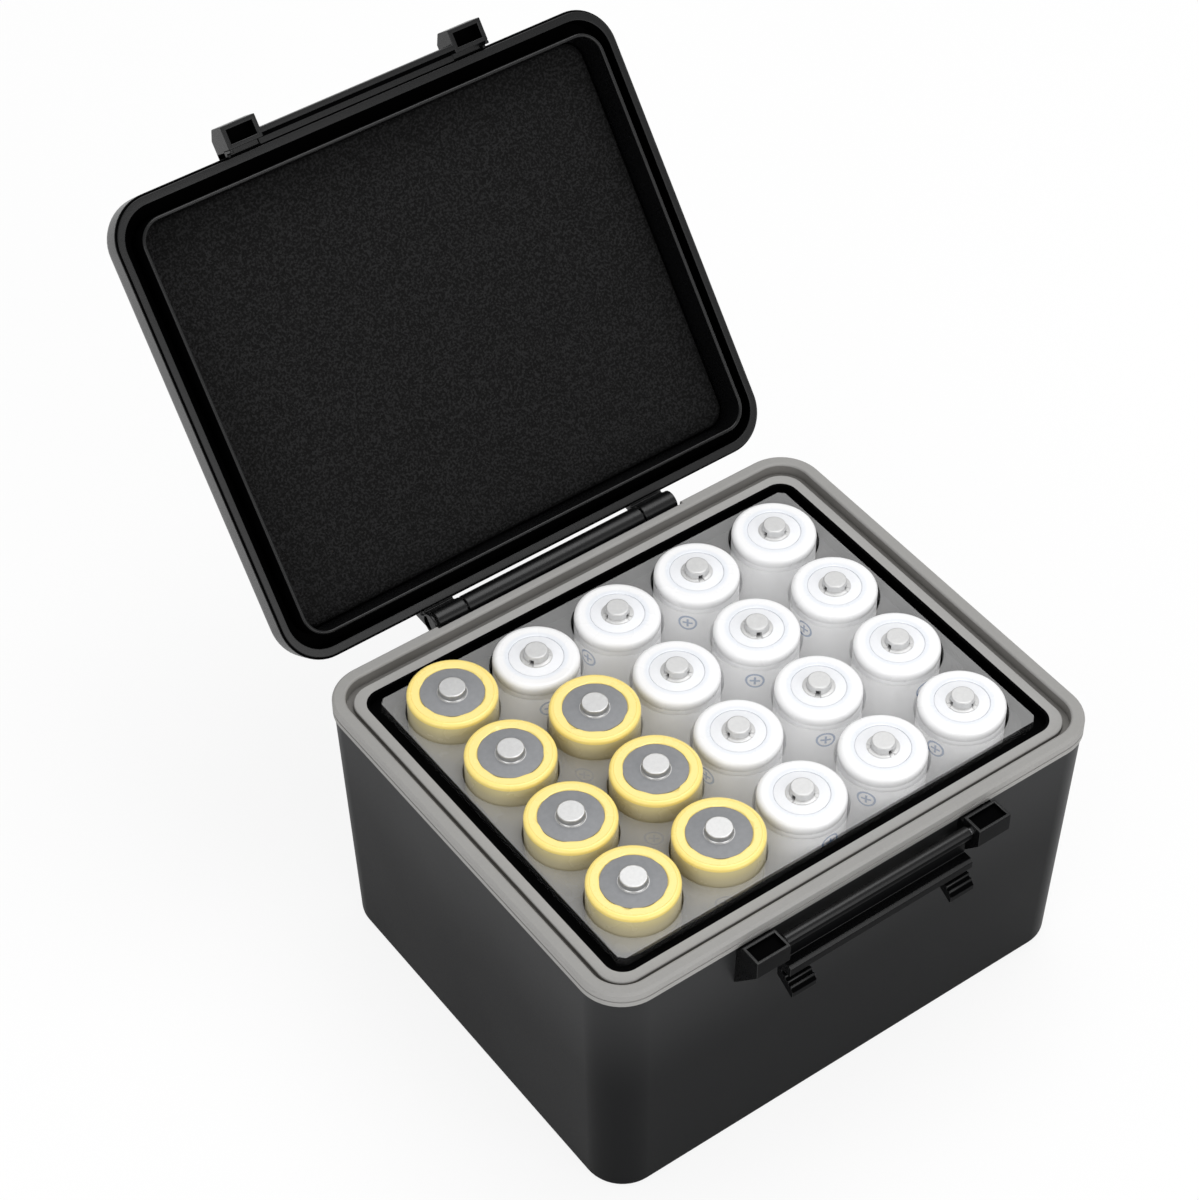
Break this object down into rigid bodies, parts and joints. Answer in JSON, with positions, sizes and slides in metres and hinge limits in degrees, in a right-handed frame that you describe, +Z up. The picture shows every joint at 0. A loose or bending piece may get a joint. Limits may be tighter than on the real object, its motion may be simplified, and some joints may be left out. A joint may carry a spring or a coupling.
{
  "type": "battery storage case",
  "caption": "Hinged storage case with a soft rim seal, a padded lid, a front clasp and a bored tray that holds cylindrical cells upright.",
  "frame": {"origin": "centre of the tub's underside", "axes": "+Z up, +X to the right seen from the latch side, +Y towards the hinge"},
  "size_m": [0.1218, 0.1821, 0.1486],
  "materials": {
    "charcoal_plastic": "satin moulded plastic",
    "grey_silicone": "matte soft rubber",
    "smoky_plastic": "smoky translucent plastic",
    "black_foam": "open-cell foam",
    "steel": "plain steel",
    "yellow_wrap": "shrink wrap",
    "white_wrap": "shrink wrap",
    "nickel_cap": "nickel-plated steel"
  },
  "bodies": {
    "case": {"body_shell": "charcoal_plastic", "rim_frame": "charcoal_plastic", "rim_seal": "grey_silicone", "cell_tray": "smoky_plastic", "hinge_pin": "steel", "latch_pin": "steel"},
    "lid": {"lid_shell": "charcoal_plastic", "lid_foam": "black_foam"},
    "clasp": {"latch_clasp": "charcoal_plastic"},
    "cell_a1": {"cell_a1_can": "yellow_wrap", "cell_a1_cap": "nickel_cap"},
    "cell_a2": {"cell_a2_can": "yellow_wrap", "cell_a2_cap": "nickel_cap"},
    "cell_a3": {"cell_a3_can": "yellow_wrap", "cell_a3_cap": "nickel_cap"},
    "cell_a4": {"cell_a4_can": "yellow_wrap", "cell_a4_cap": "nickel_cap"},
    "cell_b1": {"cell_b1_can": "white_wrap", "cell_b1_cap": "nickel_cap"},
    "cell_b2": {"cell_b2_can": "yellow_wrap", "cell_b2_cap": "nickel_cap"},
    "cell_b3": {"cell_b3_can": "yellow_wrap", "cell_b3_cap": "nickel_cap"},
    "cell_b4": {"cell_b4_can": "yellow_wrap", "cell_b4_cap": "nickel_cap"},
    "cell_c1": {"cell_c1_can": "white_wrap", "cell_c1_cap": "nickel_cap"},
    "cell_c2": {"cell_c2_can": "white_wrap", "cell_c2_cap": "nickel_cap"},
    "cell_c3": {"cell_c3_can": "white_wrap", "cell_c3_cap": "nickel_cap"},
    "cell_c4": {"cell_c4_can": "white_wrap", "cell_c4_cap": "nickel_cap"},
    "cell_d1": {"cell_d1_can": "white_wrap", "cell_d1_cap": "nickel_cap"},
    "cell_d2": {"cell_d2_can": "white_wrap", "cell_d2_cap": "nickel_cap"},
    "cell_d3": {"cell_d3_can": "white_wrap", "cell_d3_cap": "nickel_cap"},
    "cell_d4": {"cell_d4_can": "white_wrap", "cell_d4_cap": "nickel_cap"},
    "cell_e1": {"cell_e1_can": "white_wrap", "cell_e1_cap": "nickel_cap"},
    "cell_e2": {"cell_e2_can": "white_wrap", "cell_e2_cap": "nickel_cap"},
    "cell_e3": {"cell_e3_can": "white_wrap", "cell_e3_cap": "nickel_cap"},
    "cell_e4": {"cell_e4_can": "white_wrap", "cell_e4_cap": "nickel_cap"}
  },
  "joints": [
    {"name": "lid_hinge", "type": "hinge", "parent": "case", "child": "lid", "pos_m": [0, 0.05292, 0.06287], "axis": [-1, 0, 0], "range_deg": [-128.2, 0]},
    {"name": "clasp_pivot", "type": "hinge", "parent": "case", "child": "clasp", "pos_m": [0, -0.05359, 0.0606], "axis": [1, 0, 0], "range_deg": [-180, 0]},
    {"name": "cell_a1_lift", "type": "slide", "parent": "case", "child": "cell_a1", "axis": [0, 0, 1], "range_m": [0, 0.07]},
    {"name": "cell_a2_lift", "type": "slide", "parent": "case", "child": "cell_a2", "axis": [0, 0, 1], "range_m": [0, 0.07]},
    {"name": "cell_a3_lift", "type": "slide", "parent": "case", "child": "cell_a3", "axis": [0, 0, 1], "range_m": [0, 0.07]},
    {"name": "cell_a4_lift", "type": "slide", "parent": "case", "child": "cell_a4", "axis": [0, 0, 1], "range_m": [0, 0.07]},
    {"name": "cell_b1_lift", "type": "slide", "parent": "case", "child": "cell_b1", "axis": [0, 0, 1], "range_m": [0, 0.07]},
    {"name": "cell_b2_lift", "type": "slide", "parent": "case", "child": "cell_b2", "axis": [0, 0, 1], "range_m": [0, 0.07]},
    {"name": "cell_b3_lift", "type": "slide", "parent": "case", "child": "cell_b3", "axis": [0, 0, 1], "range_m": [0, 0.07]},
    {"name": "cell_b4_lift", "type": "slide", "parent": "case", "child": "cell_b4", "axis": [0, 0, 1], "range_m": [0, 0.07]},
    {"name": "cell_c1_lift", "type": "slide", "parent": "case", "child": "cell_c1", "axis": [0, 0, 1], "range_m": [0, 0.07]},
    {"name": "cell_c2_lift", "type": "slide", "parent": "case", "child": "cell_c2", "axis": [0, 0, 1], "range_m": [0, 0.07]},
    {"name": "cell_c3_lift", "type": "slide", "parent": "case", "child": "cell_c3", "axis": [0, 0, 1], "range_m": [0, 0.07]},
    {"name": "cell_c4_lift", "type": "slide", "parent": "case", "child": "cell_c4", "axis": [0, 0, 1], "range_m": [0, 0.07]},
    {"name": "cell_d1_lift", "type": "slide", "parent": "case", "child": "cell_d1", "axis": [0, 0, 1], "range_m": [0, 0.07]},
    {"name": "cell_d2_lift", "type": "slide", "parent": "case", "child": "cell_d2", "axis": [0, 0, 1], "range_m": [0, 0.07]},
    {"name": "cell_d3_lift", "type": "slide", "parent": "case", "child": "cell_d3", "axis": [0, 0, 1], "range_m": [0, 0.07]},
    {"name": "cell_d4_lift", "type": "slide", "parent": "case", "child": "cell_d4", "axis": [0, 0, 1], "range_m": [0, 0.07]},
    {"name": "cell_e1_lift", "type": "slide", "parent": "case", "child": "cell_e1", "axis": [0, 0, 1], "range_m": [0, 0.07]},
    {"name": "cell_e2_lift", "type": "slide", "parent": "case", "child": "cell_e2", "axis": [0, 0, 1], "range_m": [0, 0.07]},
    {"name": "cell_e3_lift", "type": "slide", "parent": "case", "child": "cell_e3", "axis": [0, 0, 1], "range_m": [0, 0.07]},
    {"name": "cell_e4_lift", "type": "slide", "parent": "case", "child": "cell_e4", "axis": [0, 0, 1], "range_m": [0, 0.07]}
  ]
}
